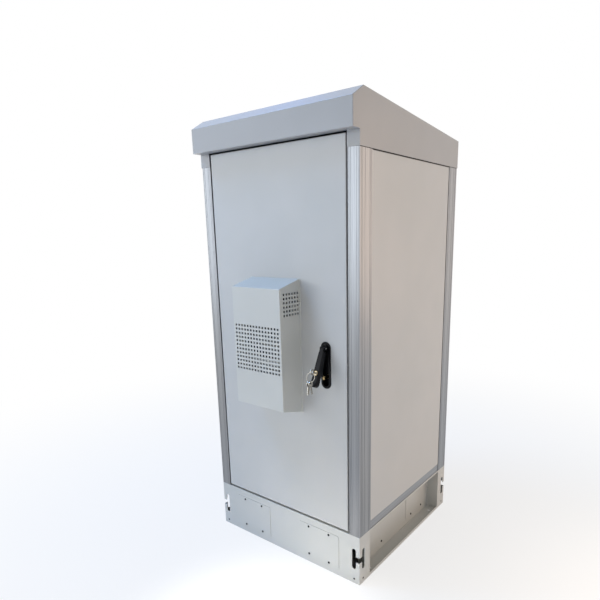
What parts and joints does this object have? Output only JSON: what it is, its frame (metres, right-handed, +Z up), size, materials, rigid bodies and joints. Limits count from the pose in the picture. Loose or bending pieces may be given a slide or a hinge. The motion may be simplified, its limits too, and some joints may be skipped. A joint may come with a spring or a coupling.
{
  "type": "roadside utility cabinet",
  "caption": "Free-standing metal cabinet on a plinth, with a hinged door, a perforated cooling hood, a swing handle lock and a sloping roof.",
  "frame": {"origin": "centre of the footprint, on the ground, in the middle of the four anchor holes", "axes": "+X to the right along the front, +Y from the front to the back, +Z up"},
  "size_m": [0.754, 0.859, 1.7419],
  "materials": {
    "shell_paint": "fine light grey powder coat",
    "plinth_paint": "smooth light grey powder coat",
    "anodised": "clear anodised extrusion",
    "galvanised": "zinc coated sheet",
    "plated_steel": "bright zinc plated",
    "fin_aluminium": "bare sheet",
    "black_plastic": "moulded black",
    "handle_black": "satin black coating",
    "brass": "turned",
    "nickel": "nickel plated",
    "foam": "closed cell foam",
    "rubber": "foamed seal"
  },
  "bodies": {
    "frame": {"plinth_front": "plinth_paint", "plinth_rear": "plinth_paint", "plinth_side_right": "plinth_paint", "plinth_side_left": "plinth_paint", "plinth_cover_plates": "plinth_paint", "post_front_right": "anodised", "post_front_left": "anodised", "post_rear_right": "anodised", "post_rear_left": "anodised", "bottom_cross_rails": "anodised", "bottom_side_rails": "anodised", "top_cross_rails": "anodised", "top_side_rails": "anodised", "door_frame": "galvanised", "side_panel_right": "shell_paint", "side_panel_left": "shell_paint", "rear_panel": "shell_paint", "panel_insulation": "foam", "floor_plate": "galvanised", "cable_entry_trim": "rubber", "top_plate": "galvanised", "roof_bearers": "galvanised", "roof_cover": "shell_paint", "rack_upright_front_right": "galvanised", "rack_upright_front_left": "galvanised", "rack_upright_rear_right": "galvanised", "rack_upright_rear_left": "galvanised", "rack_members_right": "galvanised", "rack_members_left": "galvanised", "earth_bar": "brass", "hinge_frame_leaves": "plated_steel"},
    "door": {"door_panel": "shell_paint", "door_stiffeners": "galvanised", "door_insulation": "foam", "door_gasket": "rubber", "hinge_door_leaves": "plated_steel", "hinge_pins": "plated_steel", "cooling_hood": "shell_paint", "fan_bracket": "galvanised", "outer_fan_frame": "black_plastic", "unit_housing": "galvanised", "heat_exchanger_core": "fin_aluminium", "unit_cover": "galvanised", "inner_fan_frame": "black_plastic", "lock_dish": "handle_black", "dish_latch": "brass", "gearbox_housing": "plated_steel", "gearbox_cover": "plated_steel", "rod_guides": "black_plastic"},
    "outer_fan": {"outer_fan_rotor": "black_plastic"},
    "inner_fan": {"inner_fan_rotor": "black_plastic"},
    "handle_hub": {"handle_hub": "handle_black", "lever_pin": "plated_steel", "lock_pinion": "plated_steel"},
    "upper_rod": {"upper_rod": "plated_steel"},
    "lower_rod": {"lower_rod": "plated_steel"},
    "lever": {"handle_lever": "handle_black", "lock_barrel": "brass"},
    "key": {"key_plug": "nickel", "keys_on_ring": "nickel"}
  },
  "joints": [
    {"name": "door_hinge", "type": "hinge", "parent": "frame", "child": "door", "pos_m": [-0.3115, -0.365, 0.91], "axis": [0, 0, -1], "range_deg": [0, 110]},
    {"name": "outer_fan_spin", "type": "hinge", "parent": "door", "child": "outer_fan", "pos_m": [-0.005, -0.42, 0.953], "axis": [0, -1, 0], "continuous": true},
    {"name": "inner_fan_spin", "type": "hinge", "parent": "door", "child": "inner_fan", "pos_m": [-0.005, -0.26, 1], "axis": [0, -1, 0], "continuous": true},
    {"name": "handle_turn", "type": "hinge", "parent": "door", "child": "handle_hub", "pos_m": [0.231, -0.38, 0.908], "axis": [0, -1, 0], "range_deg": [0, 90]},
    {"name": "upper_rod_slide", "type": "slide", "parent": "door", "child": "upper_rod", "axis": [0, 0, 1], "range_m": [-0.019, 0]},
    {"name": "lower_rod_slide", "type": "slide", "parent": "door", "child": "lower_rod", "axis": [0, 0, 1], "range_m": [0, 0.019]},
    {"name": "lever_lift", "type": "hinge", "parent": "handle_hub", "child": "lever", "pos_m": [0.231, -0.39, 0.908], "axis": [-1, 0, 0], "range_deg": [-24, 21]},
    {"name": "key_turn", "type": "hinge", "parent": "lever", "child": "key", "pos_m": [0.231, -0.43564, 0.82761], "axis": [0, -0.9135, 0.4067], "range_deg": [0, 90]}
  ],
  "couplings": [
    {"joint": "upper_rod_slide", "follows": "handle_turn", "m_per_rad": -0.012},
    {"joint": "lower_rod_slide", "follows": "handle_turn", "m_per_rad": 0.012}
  ]
}
